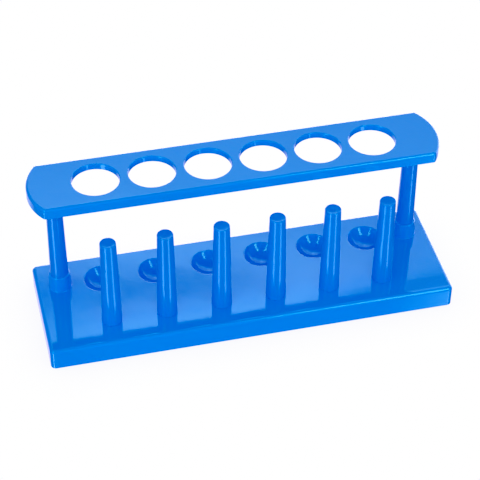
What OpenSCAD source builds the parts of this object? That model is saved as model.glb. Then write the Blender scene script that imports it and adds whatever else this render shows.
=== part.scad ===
// Test tube rack: a tray base with six drying pegs and a raised tube plate on two posts.
// Origin: centre of the base's footprint, on the bench. +X runs along the rack, -Y is the front.

/* [Tube row] */
// Distance between neighbouring tubes
tube_pitch = 25; // [23:0.5:40]
// Diameter of the holes in the top plate
hole_d = 21; // [16:0.1:22]
// Diameter of a resting cup at the deck
cup_d = 15.9; // [12:0.1:18]
// Depth of a resting cup
cup_depth = 5.2; // [3:0.1:5.5]
// Wall under a resting cup
cup_wall = 2.2; // [1.6:0.1:2.6]

/* [Base] */
// Depth of the base, front to back
base_w = 57.4; // [54:0.1:80]
// Height of the base
base_h = 10.4; // [9:0.1:16]
// Distance from the last tube to the end of the base
end_reach = 30; // [26:0.05:40]
// Distance from the tube row to the back edge
back_reach = 15.7; // [13:0.1:20]
// Distance from the peg row to the front edge
front_reach = 14.4; // [8:0.1:16]
// Radius of the base's upright corners
base_corner_r = 2.4; // [2:0.1:8]
// Thickness of the decks of the base and of the plate
deck_t = 3; // [2.4:0.1:3.2]
// Thickness of the skirts
skirt_t = 2.4; // [1.6:0.1:3]
// Rounding of the base's top edges
base_edge_r = 1.6; // [0.4:0.1:1.8]
// Thickness of the stiffening ribs under the base
rib_t = 1.6; // [1.2:0.1:2.4]

/* [Top plate] */
// Height of the plate's top face above the bench
plate_top_z = 69.2; // [60:0.1:90]
// Length of the plate over its bowed ends
plate_l = 185.6; // [182:0.1:190]
// Width of the plate
plate_w = 31.4; // [29:0.1:31.4]
// Depth of the plate's skirt
plate_h = 5; // [4.4:0.1:7]
// Radius of the plate's bowed ends
plate_end_r = 25.2; // [20:0.1:40]
// Rounding of the plate's four corners
plate_corner_r = 1.5; // [1.3:0.1:3]
// Rounding of the plate's top edges
plate_edge_r = 1.2; // [0.4:0.1:1.2]

/* [Posts] */
// Distance from the last tube to the post
post_reach = 19; // [17:0.1:22]
// Diameter of a post above its collar
post_d = 8.2; // [7:0.1:9]
// Diameter of a post where it enters the plate's socket
post_tip_d = 7.2; // [6.4:0.1:8]
// Height of the collars on the base, and of the sockets under the plate
collar_h = 8; // [5:0.1:12]
// Diameter of a collar at the deck
collar_foot_d = 10.3; // [10:0.1:12]
// Diameter of a collar at its rim
collar_rim_d = 9.6; // [9.4:0.1:11]
// Rounding of a collar's rim
rim_r = 0.6; // [0.3:0.1:0.8]

/* [Pegs] */
// Height of the peg tips above the bench
peg_top_z = 56.2; // [40:0.1:58]
// Diameter of a peg at the deck
peg_d = 9.1; // [8:0.1:10]
// Diameter of a peg at its tip
peg_tip_d = 7.2; // [6:0.1:8]
// Rounding of a peg's tip
peg_edge_r = 0.5; // [0.2:0.1:1]

/* [Spigots] */
// Diameter of the spigots that press into the base
spigot_d = 5.8; // [4:0.1:6]
// Diameter of the spigots that press into the plate
top_spigot_d = 4.8; // [4:0.1:5]
// Gap around a spigot
fit_gap = 0.05; // [0.02:0.01:0.1]
// Gap between a spigot's end and the end of its socket
end_gap = 0.2; // [0.1:0.1:0.5]
// Wall of the socket bosses
boss_wall = 2; // [1.5:0.1:2.2]
// Height of the bosses and ribs above the bench
underside_gap = 1.2; // [0.6:0.1:2]
// Wall left over the plate's blind sockets
cap_t = 2; // [1:0.1:2.2]

/* [Hidden] */
// One node per peg, so the number of tubes is fixed
tube_count = 6;
$fn = 96;
hull_fn = 32;
arc_steps = 6;
end_arc_steps = 12;
over = 1;

row_l = (tube_count - 1) * tube_pitch;
base_l = row_l + 2 * end_reach;
tube_y = base_w / 2 - back_reach;
peg_y = front_reach - base_w / 2;
post_x = row_l / 2 + post_reach;
deck_under_z = base_h - deck_t;
collar_top_z = base_h + collar_h;
plate_bottom_z = plate_top_z - plate_h;
plate_under_z = plate_top_z - deck_t;
socket_z = plate_under_z - collar_h;
cup_r = (cup_d * cup_d / 4 + cup_depth * cup_depth) / (2 * cup_depth);
plate_end_x = plate_l / 2 - plate_end_r;
mould_blue = [0.13, 0.53, 0.92];
post_blue = [0.08, 0.46, 0.86];

function tube_x(i) = (i - (tube_count - 1) / 2) * tube_pitch;

// Points along an arc, from one angle to another
function arc(centre, r, from, to, steps) = [
    for (k = [0:steps])
        let (a = from + (to - from) * k / steps)
        centre + r * [cos(a), sin(a)]
];

// A rectangle with round corners
function round_rect(size, r) = concat(
    arc([size.x / 2 - r, size.y / 2 - r], r, 0, 90, arc_steps),
    arc([r - size.x / 2, size.y / 2 - r], r, 90, 180, arc_steps),
    arc([r - size.x / 2, r - size.y / 2], r, 180, 270, arc_steps),
    arc([size.x / 2 - r, r - size.y / 2], r, 270, 360, arc_steps)
);

// The plate's outline, moved inwards by inset: two long sides and two bowed ends
function plate_outline(inset) =
    let (r = plate_end_r - inset)
    let (a = asin((plate_w / 2 - inset) / r))
    concat(
        arc([plate_end_x, 0], r, -a, a, end_arc_steps),
        arc([-plate_end_x, 0], r, 180 - a, 180 + a, end_arc_steps)
    );

// Half section of a tapered stem from z 0 to h, its top edge rounded by edge
function stem_section(r_foot, r_top, h, edge) = concat(
    [[0, 0], [r_foot, 0]],
    arc([r_top - edge, h - edge], edge, 0, 90, arc_steps),
    [[0, h]]
);

module turned(points) {
    rotate_extrude() polygon(points);
}

// A slab with rounded top edges, wrapped around a disc at each of the given places
module soft_slab(places, r, h, edge) {
    hull() {
        for (p = places) {
            translate([p.x, p.y, 0])
                rotate_extrude($fn = hull_fn) polygon(stem_section(r, r, h, edge));
        }
    }
}

// A stem with a pressed-in spigot below z 0
module stem_with_spigot(r_foot, r_top, h, edge, spigot_l) {
    turned(stem_section(r_foot, r_top, h, edge));
    translate([0, 0, -spigot_l]) cylinder(d = spigot_d, h = spigot_l + over);
}

module at_tubes() {
    for (i = [0:tube_count - 1]) translate([tube_x(i), tube_y, 0]) children();
}

module at_pegs() {
    for (i = [0:tube_count - 1]) translate([tube_x(i), peg_y, 0]) children();
}

module at_posts() {
    for (side = [-1, 1]) translate([side * post_x, tube_y, 0]) children();
}

// Boss around a spigot, hanging from the base's deck
module base_boss() {
    translate([0, 0, underside_gap])
        cylinder(d = spigot_d + 2 * boss_wall, h = base_h - deck_t / 2 - underside_gap);
}

// Raised collar that a post stands on
module base_collar() {
    translate([0, 0, base_h - over]) cylinder(d = collar_foot_d, h = over);
    translate([0, 0, base_h])
        turned(stem_section(collar_foot_d / 2, collar_rim_d / 2, collar_h, rim_r));
}

// Ribs along both rows and across between the tubes
module base_ribs() {
    rib_h = deck_under_z - underside_gap + over;
    rib_l = base_l - skirt_t;
    rib_w = base_w - skirt_t;
    for (y = [tube_y, peg_y]) {
        translate([-rib_l / 2, y - rib_t / 2, underside_gap]) cube([rib_l, rib_t, rib_h]);
    }
    for (i = [0:tube_count]) {
        translate([tube_x(i - 0.5) - rib_t / 2, -rib_w / 2, underside_gap])
            cube([rib_t, rib_w, rib_h]);
    }
}

// Round underside of a resting cup
module cup_shell() {
    shell_r = cup_r + cup_wall;
    intersection() {
        translate([0, 0, base_h - cup_depth + cup_r]) sphere(r = shell_r);
        translate([-cup_d, -cup_d, 0]) cube([2 * cup_d, 2 * cup_d, base_h - deck_t / 2]);
    }
}

module base_shell() {
    x = base_l / 2 - base_corner_r;
    y = base_w / 2 - base_corner_r;
    inner = [base_l - 2 * skirt_t, base_w - 2 * skirt_t];
    difference() {
        soft_slab([[x, y], [-x, y], [-x, -y], [x, -y]], base_corner_r, base_h, base_edge_r);
        translate([0, 0, -over])
            linear_extrude(deck_under_z + over)
            polygon(round_rect(inner, base_corner_r - skirt_t / 2));
    }
}

module base() {
    color(mould_blue)
    difference() {
        union() {
            base_shell();
            base_ribs();
            at_pegs() base_boss();
            at_posts() base_boss();
            at_posts() base_collar();
            at_tubes() cup_shell();
        }
        at_tubes() translate([0, 0, base_h - cup_depth + cup_r]) sphere(r = cup_r);
        at_pegs() cylinder(d = spigot_d + 2 * fit_gap, h = base_h + over);
        at_posts() cylinder(d = spigot_d + 2 * fit_gap, h = collar_top_z + over);
    }
}

// Socket under the plate for a post's top spigot
module plate_socket() {
    turned([
        [0, socket_z], [collar_rim_d / 2, socket_z],
        [collar_foot_d / 2, plate_under_z], [collar_foot_d / 2, plate_under_z + over],
        [0, plate_under_z + over]
    ]);
}

module plate_shell() {
    r = plate_end_r - plate_corner_r;
    a = asin((plate_w / 2 - plate_corner_r) / r);
    places = concat(
        arc([plate_end_x, 0], r, -a, a, end_arc_steps),
        arc([-plate_end_x, 0], r, 180 - a, 180 + a, end_arc_steps)
    );
    translate([0, tube_y, plate_bottom_z])
    difference() {
        soft_slab(places, plate_corner_r, plate_h, plate_edge_r);
        translate([0, 0, -over])
            linear_extrude(plate_h - deck_t + over) polygon(plate_outline(skirt_t));
    }
}

module top_plate() {
    bore_h = plate_top_z - cap_t - socket_z;
    color(mould_blue)
    difference() {
        union() {
            plate_shell();
            at_posts() plate_socket();
        }
        at_tubes() translate([0, 0, plate_bottom_z]) cylinder(d = hole_d, h = plate_h + over);
        at_posts() translate([0, 0, socket_z - over])
            cylinder(d = top_spigot_d + 2 * fit_gap, h = bore_h + over);
    }
}

// Tapered post standing on its collar, with a spigot at each end
module post(side) {
    body_h = socket_z - collar_top_z;
    bottom_l = collar_top_z - underside_gap - end_gap;
    top_l = plate_top_z - cap_t - end_gap - socket_z;
    color(post_blue)
    translate([side * post_x, tube_y, collar_top_z]) {
        cylinder(d1 = post_d, d2 = post_tip_d, h = body_h);
        translate([0, 0, -bottom_l]) cylinder(d = spigot_d, h = bottom_l + over);
        translate([0, 0, body_h - over]) cylinder(d = top_spigot_d, h = top_l + over);
    }
}

// One drying peg, counted from the left
module drying_peg(number) {
    spigot_l = base_h - underside_gap - end_gap;
    color(post_blue)
    translate([tube_x(number - 1), peg_y, base_h])
        stem_with_spigot(peg_d / 2, peg_tip_d / 2, peg_top_z - base_h, peg_edge_r, spigot_l);
}

base();
top_plate();
post(-1);  // left_post
post(1);  // right_post
drying_peg(1);  // drying_peg_1
drying_peg(2);  // drying_peg_2
drying_peg(3);  // drying_peg_3
drying_peg(4);  // drying_peg_4
drying_peg(5);  // drying_peg_5
drying_peg(6);  // drying_peg_6
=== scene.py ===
import math

import bmesh
import bpy
from mathutils import Matrix, Vector


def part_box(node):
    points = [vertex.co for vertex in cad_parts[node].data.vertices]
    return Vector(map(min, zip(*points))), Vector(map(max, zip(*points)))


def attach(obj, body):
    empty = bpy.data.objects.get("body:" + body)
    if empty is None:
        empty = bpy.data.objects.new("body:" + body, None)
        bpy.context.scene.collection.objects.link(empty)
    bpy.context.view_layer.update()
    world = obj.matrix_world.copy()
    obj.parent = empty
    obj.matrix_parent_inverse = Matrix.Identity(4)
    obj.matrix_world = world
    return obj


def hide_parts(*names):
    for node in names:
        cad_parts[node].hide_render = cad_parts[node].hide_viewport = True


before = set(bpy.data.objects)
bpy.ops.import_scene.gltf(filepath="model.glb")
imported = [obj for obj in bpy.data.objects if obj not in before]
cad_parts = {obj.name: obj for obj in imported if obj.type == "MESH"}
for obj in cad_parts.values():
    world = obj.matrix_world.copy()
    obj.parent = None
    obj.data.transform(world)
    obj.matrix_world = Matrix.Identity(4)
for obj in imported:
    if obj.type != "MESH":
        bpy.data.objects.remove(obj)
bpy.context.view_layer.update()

# ---------------------------------------------------------------- sizes
# Meshes are drawn in millimetres and scaled to metres when a piece is finished

MM = 0.001

# Base
base_h = 10.4
base_corner_r = 2.4
base_edge_r = 1.6
deck_t = 3.0
skirt_t = 2.4
foot_edge_r = 0.12
cavity_edge_r = 0.8
underside_gap = 1.2
rib_root_t = 1.6
rib_tip_t = 1.3
# Share of a rib's half thickness that is rounded at its lower edge
rib_tip_round = 0.6

# Fall of the deck towards the front edge: where it starts, the length over which it bends
# down, and the slope it reaches. Each step of it lies a little further in from the sides
fall_start_y = -18.7
fall_blend = 2.5
fall_slope = 0.0105
fall_step_inset = 0.02

# Collars and sockets of the base
collar_foot_d = 10.3
collar_rim_d = 9.6
collar_rim_r = 0.6
collar_fillet_r = 0.35
socket_d = 5.9
boss_wall = 2.0
boss_tip_r = 0.3
boss_flare = 0.1

# Resting cups
cup_d = 15.9
cup_depth = 5.2
cup_lip_r = 0.8
cup_wall = 2.2

# Top plate
plate_h = 5.0
plate_edge_r = 1.2
plate_end_r = 25.2
plate_corner_r = 1.5
plate_inner_corner_r = 1.4
plate_cavity_edge_r = 0.6
hole_d = 21.0
hole_lip_r = 0.5
hole_foot_r = 0.4
top_socket_h = 8.0
top_socket_d = 4.9
top_socket_edge_r = 0.4
top_socket_roof = 2.0

# Stems
post_d = 8.2
post_tip_d = 7.2
spigot_d = 5.8
top_spigot_d = 4.8
spigot_edge_r = 0.4
shoulder_r = 0.2
peg_d = 9.1
peg_tip_d = 7.2
peg_edge_r = 0.5
# Depth of the dish in a peg's tip, half way in and at its middle
peg_tip_dish = (0.05, 0.06)

# Length by which joined shapes reach into each other, and by which cutters overshoot
OVERLAP = 0.8
CLEAR = 1

# Degrees by which a lip or fillet stops short of the face it rolls into, so that no two
# faces of a boolean coincide
LIP_STOP = 4
FILLET_STOP = 2

# Points closer than this, in millimetres, are merged
MERGE = 0.0005
# Edges that turn by more than this stay sharp, in degrees
SHARP_ANGLE = 32

# Numbers of steps round a full turn, along the arcs of each kind and down the deck's fall
LATHE_STEPS = 96
HOLE_STEPS = 128
CORNER_STEPS = 10
END_STEPS = 40
FILLET_STEPS = 7
FALL_STEPS = 6
BOWL_STEPS = 18
SHELL_STEPS = 16
LIP_STEPS = 8
SMALL_STEPS = 5
TIP_STEPS = 4
EDGE_STEPS = 3

# ---------------------------------------------------------------- looks

# Blue of the tray and plate and of the stems, each with the deeper shade it drifts to
TRAY_BLUE = ((0.002, 0.245, 0.79), (0.001, 0.229, 0.75))
STEM_BLUE = ((0.002, 0.202, 0.70), (0.001, 0.188, 0.66))
# Stretch of the flow marks: they run along the tray, and up the stems
TRAY_FLOW = (1, 4, 4)
STEM_FLOW = (6, 6, 1)
# Least and most roughness
TRAY_HAZE = (0.035, 0.07)
STEM_HAZE = (0.15, 0.20)

# Levels between which most of a noise lies
NOISE_SPAN = (0.3, 0.7)
# Colour drift and flow marks: noise scales, and levels, strength and brightness of the marks
DRIFT_SCALE = 22.0
FLOW_SCALE = 6.0
FLOW_SPAN = (0.35, 0.65)
FLOW_SHARE = 0.35
FLOW_LIFT = 1.10
# Painted highlight along sharp edges: width in metres, and the cosines of the turn at which it
# starts and is full
EDGE_HIGHLIGHT_WIDTH = 0.0006
EDGE_HIGHLIGHT_TURN = (0.99, 0.90)
# Patches where the painted edge highlight is weaker and stronger: noise scale and levels, and its
# strength at these levels
EDGE_HIGHLIGHT_PATCH_SCALE = 300.0
EDGE_HIGHLIGHT_PATCH_SPAN = (0.3, 0.6)
EDGE_HIGHLIGHT_PATCH_RANGE = (0.25, 1.0)
# Paler colour of the painted edge highlight, its share, and the added roughness where the
# highlight is full
EDGE_HIGHLIGHT_BLUE = (0.03, 0.38, 0.95, 1)
EDGE_HIGHLIGHT_SHARE = 0.6
EDGE_HIGHLIGHT_HAZE = 0.12
# Scuffs: stretch, turn in radians, the noise level at which they show, and roughness
SCUFF_STRETCH = (40, 900, 900)
SCUFF_TURN = 0.5
SCUFF_LEVEL = (0.66, 0.74)
SCUFF_HAZE = 0.05
HAZE_SCALE = 130.0
# Bump: noise scale, strength and depth in metres of the sink waves and the grain
SINK = (55.0, 0.2, 0.0002)
GRAIN = (2200.0, 0.10, 0.00003)
PLASTIC_IOR = 1.49
SHEEN_TINT = (0.24, 0.97, 1.0, 1)
SCATTER_SHARE = 0.12
SCATTER_RADIUS = (0.2, 0.7, 1.6)
SCATTER_DEPTH = 0.0012

# Floor: radius and drop below the rack's foot in metres, board tones and contact shade
FLOOR_R = 6.0
FLOOR_DROP = 0.0003
BOARD_SCALE = 3.0
BOARD_TONES = (0.86, 0.90)
CONTACT_REACH = 0.02
CONTACT_SHADE = 0.1
# Brightness of the backdrop as the camera sees it
BACKDROP = 1.0

# Room as reflections see it: brightness below and above the horizon, the sines of the
# elevation between which it rises, and its tint
ROOM_LOW, ROOM_DIM = 0.02, 0.3
ROOM_RISE = (-0.1, 0.15)
ROOM_TINT = (1.0, 0.92, 1.4)
# The lit back wall: azimuth and spread in degrees, then brightness steps by the sine of
# the elevation, and the sines between which it fades out
WALL_AZIMUTH = 150
WALL_SPREAD = (65, 25)
WALL_STEPS = [(-0.6, -0.45, 3.1), (0.3, 0.56, -1.7), (0.6, 0.675, 1.15)]
WALL_TOP = (0.8, 0.97)
# A brighter pool on it: its lower edge through two (azimuth, elevation) points
POOL_FOOT = ((171.3, 41.2), (161.5, 42.3))
POOL_RISE = (-0.016, 0.010)
POOL_AZIMUTH = 167
POOL_SPREAD = (10, 3)
POOL_LIGHT = 1.7
# Dark seams across it: line through two points, half width, depth, azimuth and spread
SEAMS = [
    (((171.3, 43.45), (166.3, 43.2)), (0.002, 0.013), 0.85, 175, (12, 5)),
    (((161.0, 44.7), (157.0, 43.9)), (0.018, 0.030), 0.75, 152, (12, 6)),
]
# Glows on the white table, behind the rack and below the soft boxes: azimuth, outer and
# inner half width in degrees, and strength
TABLE_GLOWS = [(180, 60, 30, 0.9), (33, 13, 4, 4.4), (-47, 15, 4, 5.2)]
# The table fades in between this sine of the elevation above the horizon and below it
TABLE_FADE = 0.05

# Plain light that fills the room, by the sine of the elevation. Its bias to the front:
# azimuth, elevation, outer and inner half width in degrees, and strength outside and inside
FILL_STEPS = [(-0.2, 0.1, 1.05), (0.6, 0.9, -0.7)]
FILL_FACING = (-18, 0, 110, 10)
FILL_BIAS = (0.5, 1.52)

# Soft boxes: azimuth and elevation in degrees, distance, width and height in metres, and
# power in watts
SOFT_BOXES = {
    "key_right": (25.5, 32, 1.2, 0.32, 0.95, 6.4),
    "key_left": (-53, 32, 1.2, 0.36, 0.95, 6.4),
}
SOFT_BOX_TARGET = (0, 0, 0.03)

# Camera response: points of the red and blue curves
FILM = {
    0: [(0, 0), (0.02, 0.0005), (0.04, 0.008), (0.07, 0.04), (0.12, 0.09), (0.3, 0.28), (1, 1)],
    2: [(0, 0), (0.15, 0.36), (0.32, 0.55), (0.6, 0.73), (0.72, 0.84), (0.85, 0.94), (1, 1)],
}

# Camera: angles in degrees, distance and target in metres, lens and sensor in millimetres
CAMERA_AZIMUTH = -13.641
CAMERA_ELEVATION = 41.874
CAMERA_ROLL = 0.545
CAMERA_DISTANCE = 0.76148
CAMERA_TARGET = (-0.00125, -0.00164, 0.0346)
CAMERA_LENS = 127.7
CAMERA_SENSOR = 36.0
CAMERA_CLIP = (0.01, 50.0)


# ---------------------------------------------------------------- places

def box_mm(node):
    """Lowest and highest corner of a CAD node, in millimetres."""
    lo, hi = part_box(node)
    return lo / MM, hi / MM


def axis_of(node):
    """x and y of an upright node's centre line."""
    lo, hi = box_mm(node)
    return (lo.x + hi.x) / 2, (lo.y + hi.y) / 2


PEGS = ["drying_peg_%d" % (i + 1) for i in range(6)]
POSTS = ["left_post", "right_post"]
base_lo, base_hi = box_mm("base")
plate_lo, plate_hi = box_mm("top_plate")
base_l, base_w = base_hi.x - base_lo.x, base_hi.y - base_lo.y
plate_l, plate_w = plate_hi.x - plate_lo.x, plate_hi.y - plate_lo.y
tube_y = (plate_lo.y + plate_hi.y) / 2
peg_y = axis_of(PEGS[0])[1]
tube_xs = [axis_of(peg)[0] for peg in PEGS]
post_places = [axis_of(post) for post in POSTS]
collar_top_z = base_hi.z
plate_top_z = plate_hi.z
plate_bottom_z = plate_top_z - plate_h
deck_under_z = base_h - deck_t
plate_under_z = plate_top_z - deck_t
top_socket_z = plate_under_z - top_socket_h
end_centre_x = plate_l / 2 - plate_end_r


# ---------------------------------------------------------------- outlines

def arc(cx, cy, r, start, stop, steps):
    """Points on an arc from start to stop degrees, both ends included."""
    points = []
    for k in range(steps + 1):
        a = math.radians(start + (stop - start) * k / steps)
        points.append((cx + r * math.cos(a), cy + r * math.sin(a)))
    return points


def round_rect(length, width, r):
    """Outline of a rectangle with round corners, counter-clockwise."""
    x, y = length / 2 - r, width / 2 - r
    points = []
    for sx, sy, start in ((1, 1, 0), (-1, 1, 90), (-1, -1, 180), (1, -1, 270)):
        points += arc(sx * x, sy * y, r, start, start + 90, CORNER_STEPS)
    return points


def bowed_outline(inset, corner_r):
    """Outline of the top plate moved inwards: straight sides, bowed ends and small corners."""
    reach = plate_end_r - inset - corner_r
    a = math.degrees(math.asin((plate_w / 2 - inset - corner_r) / reach))
    points = []
    for side, turn in ((1, 0), (-1, 180)):
        cx = side * end_centre_x
        first, last = arc(cx, 0, reach, turn - a, turn + a, 1)
        points += arc(*first, corner_r, turn - 90, turn - a, CORNER_STEPS)[:-1]
        points += arc(cx, 0, reach + corner_r, turn - a, turn + a, END_STEPS)
        points += arc(*last, corner_r, turn + a, turn + 90, CORNER_STEPS)[1:]
    return points


# ---------------------------------------------------------------- meshes

def new_object(name, bm):
    """An object from a bmesh, with its faces turned outwards."""
    bmesh.ops.recalc_face_normals(bm, faces=bm.faces)
    mesh = bpy.data.meshes.new(name)
    bm.to_mesh(mesh)
    bm.free()
    obj = bpy.data.objects.new(name, mesh)
    bpy.context.scene.collection.objects.link(obj)
    return obj


def add_loft(bm, rings):
    """Skin over rings of equal length, closed by a flat cap at each end."""
    loops = [[bm.verts.new(p) for p in ring] for ring in rings]
    for a, b in zip(loops, loops[1:]):
        for k in range(len(a)):
            j = (k + 1) % len(a)
            bm.faces.new((a[k], a[j], b[j], b[k]))
    bm.faces.new(reversed(loops[0]))
    bm.faces.new(loops[-1])


def add_lathe(bm, profile, x, y, steps=LATHE_STEPS):
    """Solid of revolution about an upright line. The profile's ends lie on that line."""
    tips = [bm.verts.new((x, y, profile[0][1])), bm.verts.new((x, y, profile[-1][1]))]
    loops = []
    for r, z in profile[1:-1]:
        ring = [(x + px, y + py) for px, py in arc(0, 0, r, 0, 360, steps)[:-1]]
        loops.append([bm.verts.new((px, py, z)) for px, py in ring])
    for k in range(steps):
        j = (k + 1) % steps
        for a, b in zip(loops, loops[1:]):
            bm.faces.new((a[k], a[j], b[j], b[k]))
        bm.faces.new((tips[0], loops[0][j], loops[0][k]))
        bm.faces.new((tips[1], loops[-1][k], loops[-1][j]))


def add_bore(bm, r, low, high, x, y):
    """Plain round cutter from low to high."""
    add_lathe(bm, [(0, low), (r, low), (r, high), (0, high)], x, y)


def bake_modifiers(obj):
    """Replace an object's mesh by the result of its modifiers."""
    graph = bpy.context.evaluated_depsgraph_get()
    mesh = bpy.data.meshes.new_from_object(obj.evaluated_get(graph))
    obj.modifiers.clear()
    obj.data = mesh


def combine(obj, bm, operation):
    """Boolean of an object with the closed shapes in a bmesh, which stay clear of each other."""
    tool = new_object("tool", bm)
    modifier = obj.modifiers.new("combine", "BOOLEAN")
    modifier.operation = operation
    modifier.solver = "MANIFOLD"
    modifier.object = tool
    bake_modifiers(obj)
    bpy.data.objects.remove(tool)


def finish_piece(obj, nodes, material):
    """Scale to metres, clean and smooth a piece, and put it in place of its CAD nodes."""
    bm = bmesh.new()
    bm.from_mesh(obj.data)
    bmesh.ops.remove_doubles(bm, verts=bm.verts, dist=MERGE)
    bmesh.ops.dissolve_degenerate(bm, edges=bm.edges, dist=MERGE)
    bmesh.ops.transform(bm, matrix=Matrix.Scale(MM, 4), verts=bm.verts)
    bm.to_mesh(obj.data)
    bm.free()
    obj.data.shade_smooth()
    obj.data.set_sharp_from_angle(angle=math.radians(SHARP_ANGLE))
    weighted = obj.modifiers.new("weighted_normals", "WEIGHTED_NORMAL")
    weighted.keep_sharp = True
    obj.data.materials.clear()
    obj.data.materials.append(material)
    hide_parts(*nodes)
    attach(obj, "root")


# ---------------------------------------------------------------- base

def deck_fall(y):
    """How far the deck has sunk at y: it is flat up to the pegs, then falls to the front edge."""
    ahead = fall_start_y - y
    if ahead <= 0:
        return 0
    if ahead < fall_blend:
        return fall_slope * ahead * ahead / (2 * fall_blend)
    return fall_slope * (ahead - fall_blend / 2)


def base_body():
    """The tray: rounded top edges, upright skirt and an open underside."""
    rings = []

    def ring(inset, z, r, front=None):
        front = inset if front is None else front
        outline = round_rect(base_l - 2 * inset, base_w - inset - front, r)
        shift = (front - inset) / 2
        rings.append([(px, py + shift, z) for px, py in outline])

    inner_r = base_corner_r - skirt_t / 2
    for u, z in arc(skirt_t + cavity_edge_r, deck_under_z - cavity_edge_r,
                    cavity_edge_r, 90, 180, FILLET_STEPS):
        ring(u, z, inner_r - (u - skirt_t))
    for u, z in arc(skirt_t - foot_edge_r, foot_edge_r, foot_edge_r, 0, -90, EDGE_STEPS):
        ring(u, z, inner_r)
    for u, z in arc(foot_edge_r, foot_edge_r, foot_edge_r, 270, 180, EDGE_STEPS):
        ring(u, z, base_corner_r - u)
    for u, z in arc(base_edge_r, base_h - base_edge_r, base_edge_r, 180, 90, FILLET_STEPS):
        ring(u, z, base_corner_r - u)
    edge_y = base_lo.y + base_edge_r
    stops = [edge_y + (fall_start_y - edge_y) * k / FALL_STEPS for k in range(1, FALL_STEPS + 1)]
    for k, y in enumerate(stops):
        inset = base_edge_r + fall_step_inset * (k + 1)
        ring(inset, base_h, base_corner_r - inset, y - base_lo.y)
    for points in rings:
        for k, (px, py, pz) in enumerate(points):
            if pz > base_h - base_edge_r / 2:
                points[k] = (px, py, pz - deck_fall(py))
    bm = bmesh.new()
    add_loft(bm, rings)
    return new_object("base_tray", bm)


def cup_sphere():
    """Radius and centre height of the sphere a cup is cut with."""
    r = (cup_d * cup_d / 4 + cup_depth * cup_depth) / (2 * cup_depth)
    return r, base_h - cup_depth + r


def add_cup_cutter(bm, x, y):
    """Hollow of one cup: a spherical bowl whose rim rolls over into the deck."""
    r, centre_z = cup_sphere()
    lip_z = base_h - cup_lip_r
    lip_x = math.sqrt((r + cup_lip_r) ** 2 - (centre_z - lip_z) ** 2)
    tangent = math.degrees(math.atan2(lip_z - centre_z, lip_x))
    bowl = arc(0, centre_z, r, -90, tangent, BOWL_STEPS)
    lip = arc(lip_x, lip_z, cup_lip_r, tangent + 180, 90 + LIP_STOP, LIP_STEPS)
    profile = bowl + lip[1:] + [(lip[-1][0], base_h + CLEAR), (0, base_h + CLEAR)]
    profile[0] = (0, profile[0][1])
    add_lathe(bm, profile, x, y)


def add_cup_shell(bm, x, y):
    """Round underside of one cup."""
    r, centre_z = cup_sphere()
    shell_r = r + cup_wall
    top_z = base_h - deck_t / 2
    top = math.degrees(math.asin((top_z - centre_z) / shell_r))
    profile = arc(0, centre_z, shell_r, -90, top, SHELL_STEPS) + [(0, top_z)]
    profile[0] = (0, profile[0][1])
    add_lathe(bm, profile, x, y)


def add_boss(bm, x, y):
    """Boss under the deck around a spigot."""
    r = spigot_d / 2 + boss_wall
    top_z = base_h - deck_t / 2
    tip = arc(r - boss_tip_r, underside_gap + boss_tip_r, boss_tip_r, 270, 360, TIP_STEPS)
    profile = [(0, underside_gap)] + tip + [(r + boss_flare, top_z), (0, top_z)]
    add_lathe(bm, profile, x, y)


def add_collar(bm, x, y):
    """Raised collar a post stands on, with a small fillet at the deck and a soft rim."""
    foot, rim, fillet = collar_foot_d / 2, collar_rim_d / 2, collar_fillet_r
    profile = [(0, base_h - OVERLAP), (foot + fillet, base_h - OVERLAP)]
    profile += arc(foot + fillet, base_h + fillet, fillet, 270 - FILLET_STOP, 180, SMALL_STEPS)
    profile += arc(rim - collar_rim_r, collar_top_z - collar_rim_r, collar_rim_r,
                   0, 90, FILLET_STEPS)
    add_lathe(bm, profile + [(0, collar_top_z)], x, y)


def add_rib(bm, start, stop):
    """Rib under the deck from start to stop, thinner at its free lower edge, which is rounded."""
    start, stop = Vector(start), Vector(stop)
    along = (stop - start).normalized()
    across = Vector((-along.y, along.x))
    root, tip = rib_root_t / 2, rib_tip_t / 2
    soft = tip * rib_tip_round
    z_tip, z_root = underside_gap, deck_under_z + OVERLAP
    section = [(root, z_root), (-root, z_root)]
    section += arc(soft - tip, z_tip + soft, soft, 180, 270, TIP_STEPS)
    section += arc(tip - soft, z_tip + soft, soft, 270, 360, TIP_STEPS)
    rings = []
    for end in (start, stop):
        rings.append([(*(end + across * u), z) for u, z in section])
    add_loft(bm, rings)


def add_long_ribs(bm):
    """Ribs along both rows."""
    end = base_l / 2 - skirt_t + OVERLAP
    for y in (tube_y, peg_y):
        add_rib(bm, (-end, y), (end, y))


def add_cross_ribs(bm):
    """Ribs across the base, between the tubes and outside the last ones."""
    end = base_w / 2 - skirt_t + OVERLAP
    pitch = tube_xs[1] - tube_xs[0]
    for k in range(len(tube_xs) + 1):
        x = tube_xs[0] + (k - 0.5) * pitch
        add_rib(bm, (x, -end), (x, end))


def add_round_parts(bm):
    """Bosses, cup undersides and collars."""
    for x in tube_xs:
        add_boss(bm, x, peg_y)
        add_cup_shell(bm, x, tube_y)
    for x, y in post_places:
        add_boss(bm, x, y)
        add_collar(bm, x, y)


def build_base(material):
    obj = base_body()
    for add_parts in (add_long_ribs, add_cross_ribs, add_round_parts):
        added = bmesh.new()
        add_parts(added)
        combine(obj, added, "UNION")
    cut = bmesh.new()
    bore = socket_d / 2
    for x in tube_xs:
        add_cup_cutter(cut, x, tube_y)
        add_bore(cut, bore, 0, base_h + CLEAR, x, peg_y)
    for x, y in post_places:
        add_bore(cut, bore, 0, collar_top_z + CLEAR, x, y)
    combine(obj, cut, "DIFFERENCE")
    finish_piece(obj, ["base"], material)


# ---------------------------------------------------------------- top plate

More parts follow.
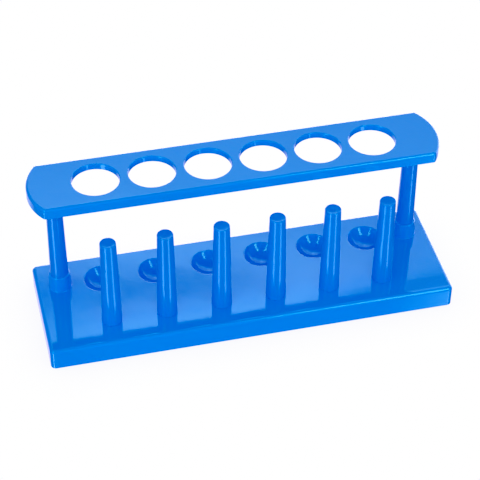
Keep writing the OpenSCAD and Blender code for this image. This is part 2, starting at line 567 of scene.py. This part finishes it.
def plate_body():
    """The plate: rounded top edges, a shallow skirt and an open underside."""
    rings = []

    def ring(inset, z, corner_r):
        outline = bowed_outline(inset, corner_r)
        rings.append([(px, py + tube_y, z) for px, py in outline])

    inner_r, soft = plate_inner_corner_r, plate_cavity_edge_r
    for u, z in arc(skirt_t + soft, plate_under_z - soft, soft, 90, 180, SMALL_STEPS):
        ring(u, z, inner_r - (u - skirt_t))
    for u, z in arc(skirt_t - foot_edge_r, plate_bottom_z + foot_edge_r, foot_edge_r,
                    0, -90, EDGE_STEPS):
        ring(u, z, inner_r)
    for u, z in arc(foot_edge_r, plate_bottom_z + foot_edge_r, foot_edge_r,
                    270, 180, EDGE_STEPS):
        ring(u, z, plate_corner_r - u)
    for u, z in arc(plate_edge_r, plate_top_z - plate_edge_r, plate_edge_r, 180, 90,
                    FILLET_STEPS):
        ring(u, z, plate_corner_r - u)
    bm = bmesh.new()
    add_loft(bm, rings)
    return new_object("tube_plate", bm)


def add_hole_cutter(bm, x, y):
    """One tube hole: a soft upper rim and a slightly rounded lower one."""
    r, q, p = hole_d / 2, hole_lip_r, hole_foot_r
    low, high = plate_under_z, plate_top_z
    lower = arc(r + p, low + p, p, 270 - LIP_STOP, 180, SMALL_STEPS)
    upper = arc(r + q, high - q, q, 180, 90 + LIP_STOP, LIP_STEPS)
    profile = [(0, low - CLEAR), (lower[0][0], low - CLEAR)] + lower
    profile += upper + [(upper[-1][0], high + CLEAR), (0, high + CLEAR)]
    add_lathe(bm, profile, x, y, HOLE_STEPS)


def add_top_socket(bm, x, y):
    """Socket under the plate that takes a post's upper spigot."""
    rim, foot, soft = collar_rim_d / 2, collar_foot_d / 2, top_socket_edge_r
    profile = [(0, top_socket_z)]
    profile += arc(rim - soft, top_socket_z + soft, soft, 270, 360, SMALL_STEPS)
    profile += [(foot, plate_under_z), (foot, plate_under_z + OVERLAP)]
    add_lathe(bm, profile + [(0, plate_under_z + OVERLAP)], x, y)


def build_plate(material):
    obj = plate_body()
    added = bmesh.new()
    for x, y in post_places:
        add_top_socket(added, x, y)
    combine(obj, added, "UNION")
    cut = bmesh.new()
    for x in tube_xs:
        add_hole_cutter(cut, x, tube_y)
    bore, top = top_socket_d / 2, plate_top_z - top_socket_roof
    for x, y in post_places:
        add_bore(cut, bore, top_socket_z - CLEAR, top, x, y)
    combine(obj, cut, "DIFFERENCE")
    finish_piece(obj, ["top_plate"], material)


# ---------------------------------------------------------------- stems

def spigot_foot(z):
    """Start of a stem's profile: the rounded lower end of its spigot."""
    r, soft = spigot_d / 2, spigot_edge_r
    return [(0, z)] + arc(r - soft, z + soft, soft, 270, 360, TIP_STEPS)


def build_post(name, material):
    lo, hi = box_mm(name)
    x, y = axis_of(name)
    r0, r1 = post_d / 2, post_tip_d / 2
    top_r, soft = top_spigot_d / 2, spigot_edge_r
    profile = spigot_foot(lo.z)
    profile.append((spigot_d / 2, collar_top_z))
    profile += arc(r0 - shoulder_r, collar_top_z + shoulder_r, shoulder_r, 270, 360, EDGE_STEPS)
    profile += arc(r1 - shoulder_r, top_socket_z - shoulder_r, shoulder_r, 0, 90, EDGE_STEPS)
    profile.append((top_r, top_socket_z))
    profile += arc(top_r - soft, hi.z - soft, soft, 0, 90, TIP_STEPS)
    bm = bmesh.new()
    add_lathe(bm, profile + [(0, hi.z)], x, y)
    obj = new_object(name + "_stem", bm)
    finish_piece(obj, [name], material)


def build_peg(name, material):
    lo, hi = box_mm(name)
    x, y = axis_of(name)
    r0, r1 = peg_d / 2, peg_tip_d / 2
    profile = spigot_foot(lo.z)
    profile.append((spigot_d / 2, base_h))
    profile += arc(r0 - shoulder_r, base_h + shoulder_r, shoulder_r, 270, 360, EDGE_STEPS)
    profile += arc(r1 - peg_edge_r, hi.z - peg_edge_r, peg_edge_r, 0, 90, LIP_STEPS)
    profile += [(r1 * 0.5, hi.z - peg_tip_dish[0]), (0, hi.z - peg_tip_dish[1])]
    bm = bmesh.new()
    add_lathe(bm, profile, x, y)
    obj = new_object(name + "_stem", bm)
    finish_piece(obj, [name], material)


# ---------------------------------------------------------------- shader nodes

def plug(tree, node, inputs):
    """Set a node's inputs, each to a value or to another node's output socket."""
    for key, value in inputs.items():
        if isinstance(value, bpy.types.NodeSocket):
            tree.links.new(value, node.inputs[key])
        else:
            node.inputs[key].default_value = value


def add_node(tree, kind, inputs=None, **settings):
    """A shader node with its inputs and settings."""
    node = tree.nodes.new(kind)
    for key, value in settings.items():
        setattr(node, key, value)
    plug(tree, node, inputs or {})
    return node


def noise(tree, place, scale, detail=2.0):
    inputs = {"Vector": place, "Scale": scale, "Detail": detail, "Roughness": 0.5}
    return add_node(tree, "ShaderNodeTexNoise", inputs).outputs["Fac"]


def remap(tree, value, from_min, from_max, to_min, to_max):
    """Straight ramp between two values, held level outside them."""
    inputs = {"Value": value, "From Min": from_min, "From Max": from_max,
              "To Min": to_min, "To Max": to_max}
    return add_node(tree, "ShaderNodeMapRange", inputs).outputs["Result"]


def calculate(tree, operation, a, b=0.0):
    return add_node(tree, "ShaderNodeMath", {0: a, 1: b}, operation=operation).outputs["Value"]


def dot(tree, a, b):
    node = add_node(tree, "ShaderNodeVectorMath", {0: a, 1: b}, operation="DOT_PRODUCT")
    return node.outputs["Value"]


def mix_colour(tree, share, a, b):
    """Colour between a and b. The mix node's colour sockets go by number."""
    node = add_node(tree, "ShaderNodeMix", data_type="RGBA")
    plug(tree, node, {0: share, 6: a, 7: b})
    return node.outputs[2]


def stretched(tree, place, scale, turn=0.0):
    inputs = {"Vector": place, "Scale": scale, "Rotation": (0, 0, turn)}
    return add_node(tree, "ShaderNodeMapping", inputs).outputs["Vector"]


# ---------------------------------------------------------------- materials

def painted_edge_highlight_mask(tree):
    """1 along sharp edges, where a paler highlight is painted and roughness added, and 0 on open
    faces.
    """
    rounded = add_node(tree, "ShaderNodeBevel", {"Radius": EDGE_HIGHLIGHT_WIDTH}, samples=6)
    plain = add_node(tree, "ShaderNodeNewGeometry")
    alike = dot(tree, rounded.outputs["Normal"], plain.outputs["Normal"])
    return remap(tree, alike, *EDGE_HIGHLIGHT_TURN, 0.0, 1.0)


def plastic_colour(tree, place, colours, flow_stretch, edge_highlight):
    """Blue that drifts a little, with flow marks, and a painted highlight that makes it paler
    along sharp edges.
    """
    colour, deep_colour = colours
    drift = remap(tree, noise(tree, place, DRIFT_SCALE), *NOISE_SPAN, 0.0, 1.0)
    marks = noise(tree, stretched(tree, place, flow_stretch), FLOW_SCALE, 3.0)
    flow = remap(tree, marks, *FLOW_SPAN, 0.0, FLOW_SHARE)
    blue = mix_colour(tree, drift, (*colour, 1), (*deep_colour, 1))
    blue = mix_colour(tree, flow, blue, (*[c * FLOW_LIFT for c in colour], 1))
    # Painted highlight: the colour turns paler along sharp edges.
    return mix_colour(tree, calculate(tree, "MULTIPLY", edge_highlight, EDGE_HIGHLIGHT_SHARE), blue, EDGE_HIGHLIGHT_BLUE)


def plastic_roughness(tree, place, haze_range, edge_highlight):
    """Uneven gloss, duller at scuffs and along the sharp edges that carry the painted highlight.
    """
    haze = remap(tree, noise(tree, place, HAZE_SCALE, 4.0), *NOISE_SPAN, *haze_range)
    scuffs = noise(tree, stretched(tree, place, SCUFF_STRETCH, SCUFF_TURN), 1.0)
    rough = calculate(tree, "ADD", haze, remap(tree, scuffs, *SCUFF_LEVEL, 0.0, SCUFF_HAZE))
    return calculate(tree, "ADD", rough, calculate(tree, "MULTIPLY", edge_highlight, EDGE_HIGHLIGHT_HAZE))


def plastic_bump(tree, place):
    """Shallow sink waves with a fine grain on them."""
    scale, strength, depth = SINK
    sink = add_node(tree, "ShaderNodeBump", {
        "Height": noise(tree, place, scale, 1.0), "Strength": strength, "Distance": depth})
    scale, strength, depth = GRAIN
    grain = add_node(tree, "ShaderNodeBump", {
        "Height": noise(tree, place, scale, 3.0), "Strength": strength, "Distance": depth,
        "Normal": sink.outputs["Normal"]})
    return grain.outputs["Normal"]


def moulded_plastic(name, colours, flow_stretch, haze_range):
    """Moulded polypropylene: flow marks, sink waviness, fine grain, scuffs and a painted
    highlight along sharp edges.
    """
    material = bpy.data.materials.new(name)
    material.use_nodes = True
    tree = material.node_tree
    tree.nodes.clear()
    place = add_node(tree, "ShaderNodeTexCoord").outputs["Object"]
    # Mask of the painted highlight along sharp edges, weaker and stronger in patches; it also
    # adds roughness there.
    patches = remap(tree, noise(tree, place, EDGE_HIGHLIGHT_PATCH_SCALE), *EDGE_HIGHLIGHT_PATCH_SPAN,
                    *EDGE_HIGHLIGHT_PATCH_RANGE)
    edge_highlight = calculate(tree, "MULTIPLY", painted_edge_highlight_mask(tree), patches)
    shader = add_node(tree, "ShaderNodeBsdfPrincipled", {
        "Base Color": plastic_colour(tree, place, colours, flow_stretch, edge_highlight),
        "Roughness": plastic_roughness(tree, place, haze_range, edge_highlight),
        "Normal": plastic_bump(tree, place), "IOR": PLASTIC_IOR, "Specular Tint": SHEEN_TINT,
        "Subsurface Weight": SCATTER_SHARE, "Subsurface Radius": SCATTER_RADIUS,
        "Subsurface Scale": SCATTER_DEPTH})
    add_node(tree, "ShaderNodeOutputMaterial", {"Surface": shader.outputs["BSDF"]})
    return material


def floor_material():
    """Matt white studio board. The camera sees it at full white, a touch darker at contacts."""
    material = bpy.data.materials.new("studio_board")
    material.use_nodes = True
    tree = material.node_tree
    tree.nodes.clear()
    place = add_node(tree, "ShaderNodeTexCoord").outputs["Object"]
    tone = remap(tree, noise(tree, place, BOARD_SCALE), *NOISE_SPAN, *BOARD_TONES)
    board = add_node(tree, "ShaderNodeBsdfDiffuse", {"Color": tone})
    contact = add_node(tree, "ShaderNodeAmbientOcclusion", {"Distance": CONTACT_REACH},
                       samples=8)
    shade = remap(tree, contact.outputs["AO"], 0.0, 1.0, 1.0 - CONTACT_SHADE, BACKDROP)
    seen = add_node(tree, "ShaderNodeEmission", {"Strength": shade})
    camera = add_node(tree, "ShaderNodeLightPath").outputs["Is Camera Ray"]
    shader = add_node(tree, "ShaderNodeMixShader", {
        0: camera, 1: board.outputs["BSDF"], 2: seen.outputs["Emission"]})
    add_node(tree, "ShaderNodeOutputMaterial", {"Surface": shader.outputs["Shader"]})
    return material


# ---------------------------------------------------------------- studio

def direction(azimuth, elevation):
    """Unit vector towards an azimuth, in degrees from the front, and an elevation."""
    a, e = math.radians(azimuth), math.radians(elevation)
    return Vector((math.sin(a) * math.cos(e), -math.cos(a) * math.cos(e), math.sin(e)))


def build_floor():
    bm = bmesh.new()
    bmesh.ops.create_circle(bm, cap_ends=True, segments=LATHE_STEPS, radius=FLOOR_R)
    floor = new_object("studio_floor", bm)
    floor.location.z = -FLOOR_DROP
    floor.data.materials.append(floor_material())
    floor.visible_glossy = False


def add_soft_box(name, azimuth, elevation, distance, width, height, power):
    """Soft box aimed at the middle of the rack. It gives highlights; the room gives the fill."""
    target = Vector(SOFT_BOX_TARGET)
    data = bpy.data.lights.new(name, "AREA")
    data.shape = "RECTANGLE"
    data.size, data.size_y, data.energy = width, height, power
    lamp = bpy.data.objects.new(name, data)
    lamp.location = target + direction(azimuth, elevation) * distance
    lamp.rotation_euler = (lamp.location - target).to_track_quat("Z", "Y").to_euler()
    lamp.visible_camera = False
    lamp.visible_diffuse = False
    bpy.context.scene.collection.objects.link(lamp)


def facing(tree, ray, azimuth, elevation, outer, inner):
    """1 within inner degrees of a direction, falling smoothly to 0 at outer degrees."""
    node = add_node(tree, "ShaderNodeMapRange", {
        "Value": dot(tree, ray, direction(azimuth, elevation)),
        "From Min": math.cos(math.radians(outer)),
        "From Max": math.cos(math.radians(inner))}, interpolation_type="SMOOTHSTEP")
    return node.outputs["Result"]


def stepped(tree, value, steps):
    """Sum of ramps, each given by its start, its end and how much it adds."""
    total = 0.0
    for start, end, rise in steps:
        total = calculate(tree, "ADD", total, remap(tree, value, start, end, 0.0, rise))
    return total


def above(tree, ray, line):
    """Sine of how far a ray lies above a line through two (azimuth, elevation) points."""
    normal = direction(*line[0]).cross(direction(*line[1])).normalized()
    return dot(tree, ray, normal if normal.z > 0 else -normal)


def wall_light(tree, ray, level, height):
    """The lit back wall, with a brighter pool and dark seams, fading out at its top."""
    wall = calculate(tree, "MULTIPLY", stepped(tree, height, WALL_STEPS),
                     facing(tree, level, WALL_AZIMUTH, 0, *WALL_SPREAD))
    rise = remap(tree, above(tree, ray, POOL_FOOT), *POOL_RISE, 0.0, POOL_LIGHT)
    pool = calculate(tree, "MULTIPLY", rise, facing(tree, level, POOL_AZIMUTH, 0, *POOL_SPREAD))
    wall = calculate(tree, "ADD", wall, pool)
    for line, width, depth, azimuth, spread in SEAMS:
        gap = calculate(tree, "ABSOLUTE", above(tree, ray, line))
        shade = calculate(tree, "MULTIPLY", remap(tree, gap, *width, depth, 0.0),
                          facing(tree, level, azimuth, 0, *spread))
        wall = calculate(tree, "MULTIPLY", wall, calculate(tree, "SUBTRACT", 1.0, shade))
    return calculate(tree, "MULTIPLY", wall, remap(tree, height, *WALL_TOP, 1.0, 0.0))


def table_light(tree, level, height):
    """The white table: a broad glow behind the rack and one below each soft box."""
    below = remap(tree, height, TABLE_FADE, -TABLE_FADE, 0.0, 1.0)
    total = 0.0
    for azimuth, outer, inner, strength in TABLE_GLOWS:
        glow = facing(tree, level, azimuth, 0, outer, inner)
        total = calculate(tree, "ADD", total, calculate(tree, "MULTIPLY", glow, strength))
    return calculate(tree, "MULTIPLY", total, below)


def seen_room(tree, ray, level, height):
    """What mirror-like surfaces see."""
    light = calculate(tree, "ADD", remap(tree, height, *ROOM_RISE, ROOM_LOW, ROOM_DIM),
                      wall_light(tree, ray, level, height))
    light = calculate(tree, "ADD", light, table_light(tree, level, height))
    tinted = add_node(tree, "ShaderNodeVectorMath", {0: ROOM_TINT, "Scale": light},
                      operation="SCALE")
    return tinted.outputs["Vector"]


def fill_light(tree, level, height):
    """Plain light on matt surfaces, stronger from the front."""
    front = remap(tree, facing(tree, level, *FILL_FACING), 0.0, 1.0, *FILL_BIAS)
    return calculate(tree, "MULTIPLY", stepped(tree, height, FILL_STEPS), front)


def build_world():
    """Studio room: what mirror-like surfaces see differs from the plain light that fills it."""
    world = bpy.data.worlds.new("studio_room")
    bpy.context.scene.world = world
    world.use_nodes = True
    world.cycles.sampling_method = "NONE"
    tree = world.node_tree
    tree.nodes.clear()
    ray = add_node(tree, "ShaderNodeTexCoord").outputs["Generated"]
    path = add_node(tree, "ShaderNodeLightPath")
    height = add_node(tree, "ShaderNodeSeparateXYZ", {"Vector": ray}).outputs["Z"]
    level = add_node(tree, "ShaderNodeVectorMath", {0: ray, 1: (1, 1, 0)}, operation="MULTIPLY")
    level = add_node(tree, "ShaderNodeVectorMath", {0: level.outputs["Vector"]},
                     operation="NORMALIZE").outputs["Vector"]
    colour = mix_colour(tree, path.outputs["Is Glossy Ray"], fill_light(tree, level, height),
                        seen_room(tree, ray, level, height))
    colour = mix_colour(tree, path.outputs["Is Camera Ray"], colour,
                        (BACKDROP, BACKDROP, BACKDROP, 1))
    background = add_node(tree, "ShaderNodeBackground", {"Color": colour, "Strength": 1.0})
    add_node(tree, "ShaderNodeOutputWorld", {"Surface": background.outputs["Background"]})


def set_film_response():
    """Camera response: red has a soft toe and blue is lifted in the shadows."""
    view = bpy.context.scene.view_settings
    view.view_transform = "Standard"
    view.use_curve_mapping = True
    mapping = view.curve_mapping
    for channel, points in FILM.items():
        curve = mapping.curves[channel]
        curve.points[0].location = points[0]
        curve.points[-1].location = points[-1]
        for x, y in points[1:-1]:
            curve.points.new(x, y)
    mapping.update()


def build_camera():
    data = bpy.data.cameras.new("camera")
    data.lens, data.sensor_width, data.sensor_fit = CAMERA_LENS, CAMERA_SENSOR, "HORIZONTAL"
    data.clip_start, data.clip_end = CAMERA_CLIP
    camera = bpy.data.objects.new("camera", data)
    towards = direction(CAMERA_AZIMUTH, CAMERA_ELEVATION)
    camera.location = Vector(CAMERA_TARGET) + towards * CAMERA_DISTANCE
    roll = Matrix.Rotation(math.radians(CAMERA_ROLL), 3, "Z")
    aim = towards.to_track_quat("Z", "Y").to_matrix()
    camera.rotation_euler = (aim @ roll).to_euler()
    bpy.context.scene.collection.objects.link(camera)
    bpy.context.scene.camera = camera


# ---------------------------------------------------------------- build

tray_blue = moulded_plastic("tray_blue", TRAY_BLUE, TRAY_FLOW, TRAY_HAZE)
plate_blue = moulded_plastic("plate_blue", TRAY_BLUE, TRAY_FLOW, TRAY_HAZE)
stem_blue = moulded_plastic("stem_blue", STEM_BLUE, STEM_FLOW, STEM_HAZE)

build_base(tray_blue)
build_plate(plate_blue)
for post in POSTS:
    build_post(post, stem_blue)
for peg in PEGS:
    build_peg(peg, stem_blue)

build_floor()
build_world()
for box, settings in SOFT_BOXES.items():
    add_soft_box(box, *settings)
build_camera()
set_film_response()
